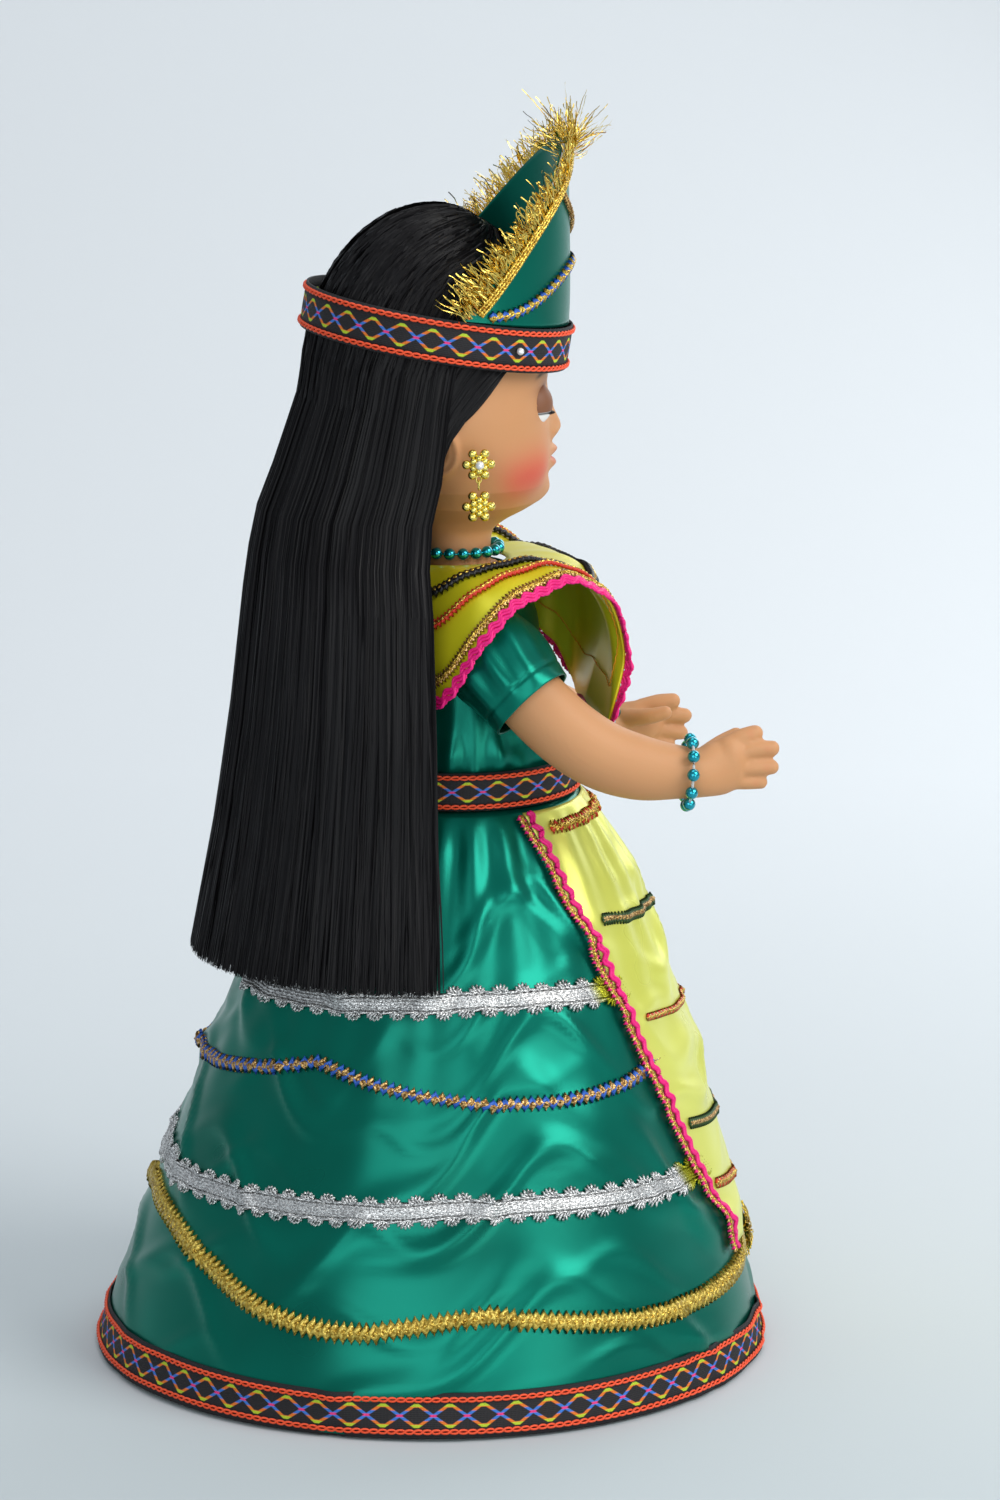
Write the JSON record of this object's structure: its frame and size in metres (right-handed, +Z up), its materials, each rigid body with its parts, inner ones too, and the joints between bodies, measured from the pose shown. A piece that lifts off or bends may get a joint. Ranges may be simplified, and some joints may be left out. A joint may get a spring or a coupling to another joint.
{
  "type": "costume play doll",
  "caption": "Standing vinyl play doll with long hair, peaked crown and wide satin skirt; head, sleeping eyes, arms, legs and jewellery move.",
  "frame": {"origin": "on the floor under the middle of the bounding box", "axes": "+Z up along the height; the doll faces -Y, its left hand is at +X"},
  "size_m": [0.2452, 0.2452, 0.4642],
  "materials": {
    "skin": "soft matte vinyl",
    "eye": "gloss",
    "eye_wire": "plain wire with a cast weight",
    "hair": "straight nylon fibre",
    "satin_green": "satin",
    "satin_yellow": "satin",
    "petticoat_net": "stiff net",
    "woven_ribbon": "woven pattern ribbon",
    "silver_braid": "metallic thread",
    "gold_braid": "metallic thread",
    "blue_gold_braid": "metallic thread",
    "pink_braid": "rayon braid",
    "red_braid": "metallic thread",
    "sequin_braid": "sequins and gold thread",
    "tinsel": "metallic film fringe",
    "card": "stiff card",
    "gold_metal": "gilt beads",
    "pearl": "pearl",
    "bead_blue": "metallic pearl",
    "shoe": "soft imitation leather"
  },
  "bodies": {
    "torso": {"torso_shell": "skin", "blouse": "satin_green", "collar": "satin_yellow", "collar_pink_trim": "pink_braid", "collar_gold_trim": "gold_braid", "collar_sequin_row": "sequin_braid", "collar_red_row": "red_braid", "necklace": "bead_blue", "belt": "woven_ribbon", "skirt": "satin_green", "petticoat": "petticoat_net", "hem_band": "woven_ribbon", "silver_braid_upper": "silver_braid", "silver_braid_lower": "silver_braid", "blue_gold_braid": "blue_gold_braid", "gold_braid": "gold_braid", "apron": "satin_yellow", "apron_pink_left": "pink_braid", "apron_pink_right": "pink_braid", "apron_gold_left": "gold_braid", "apron_gold_right": "gold_braid", "apron_rows": "gold_braid", "tassel": "tinsel", "hair_fall": "hair"},
    "head": {"head_shell": "skin", "neck_plug": "skin", "hair_cap": "hair", "headband": "woven_ribbon", "crown_panel": "satin_green", "crown_card": "card", "crown_gimp": "gold_braid", "crown_fringe": "tinsel", "crown_cord": "blue_gold_braid", "headband_pins": "pearl", "earring_top_left": "gold_metal", "earring_top_right": "gold_metal"},
    "eyes": {"eye_left": "eye", "eye_right": "eye", "eye_rocker": "eye_wire"},
    "earring_left": {"earring_drop_left": "gold_metal"},
    "earring_right": {"earring_drop_right": "gold_metal"},
    "arm_left": {"arm_left": "skin", "sleeve_left": "satin_green"},
    "arm_right": {"arm_right": "skin", "sleeve_right": "satin_green"},
    "bracelet_left": {"bracelet_left": "bead_blue"},
    "bracelet_right": {"bracelet_right": "bead_blue"},
    "leg_left": {"leg_left": "skin", "shoe_left": "shoe"},
    "leg_right": {"leg_right": "skin", "shoe_right": "shoe"}
  },
  "joints": [
    {"name": "head_turn", "type": "hinge", "parent": "torso", "child": "head", "pos_m": [0, -0.01, 0.29], "axis": [0, 0, 1], "range_deg": [-45, 45]},
    {"name": "eyes_sleep", "type": "hinge", "parent": "head", "child": "eyes", "pos_m": [0, -0.034, 0.3499], "axis": [1, 0, 0], "range_deg": [-10, 45]},
    {"name": "earring_swing_left", "type": "hinge", "parent": "head", "child": "earring_left", "pos_m": [0.0472, -0.0105, 0.32795], "axis": [1, 0, 0], "range_deg": [-20, 20]},
    {"name": "arm_raise_left", "type": "hinge", "parent": "torso", "child": "arm_left", "pos_m": [0.038, -0.014, 0.266], "axis": [-1, 0, 0], "range_deg": [-16, 54]},
    {"name": "bracelet_turn_left", "type": "hinge", "parent": "arm_left", "child": "bracelet_left", "pos_m": [0.06275, -0.07604, 0.2134], "axis": [0.0711, -0.9716, -0.2258], "continuous": true},
    {"name": "leg_swing_left", "type": "hinge", "parent": "torso", "child": "leg_left", "pos_m": [0.027, -0.011, 0.146], "axis": [-1, 0, 0], "range_deg": [-12, 12]},
    {"name": "earring_swing_right", "type": "hinge", "parent": "head", "child": "earring_right", "pos_m": [-0.0472, -0.0105, 0.32795], "axis": [1, 0, 0], "range_deg": [-20, 20]},
    {"name": "arm_raise_right", "type": "hinge", "parent": "torso", "child": "arm_right", "pos_m": [-0.038, -0.014, 0.266], "axis": [-1, 0, 0], "range_deg": [-25, 45]},
    {"name": "bracelet_turn_right", "type": "hinge", "parent": "arm_right", "child": "bracelet_right", "pos_m": [-0.06275, -0.0835, 0.22375], "axis": [-0.0711, -0.9949, -0.0711], "continuous": true},
    {"name": "leg_swing_right", "type": "hinge", "parent": "torso", "child": "leg_right", "pos_m": [-0.027, -0.011, 0.146], "axis": [-1, 0, 0], "range_deg": [-12, 12]}
  ]
}
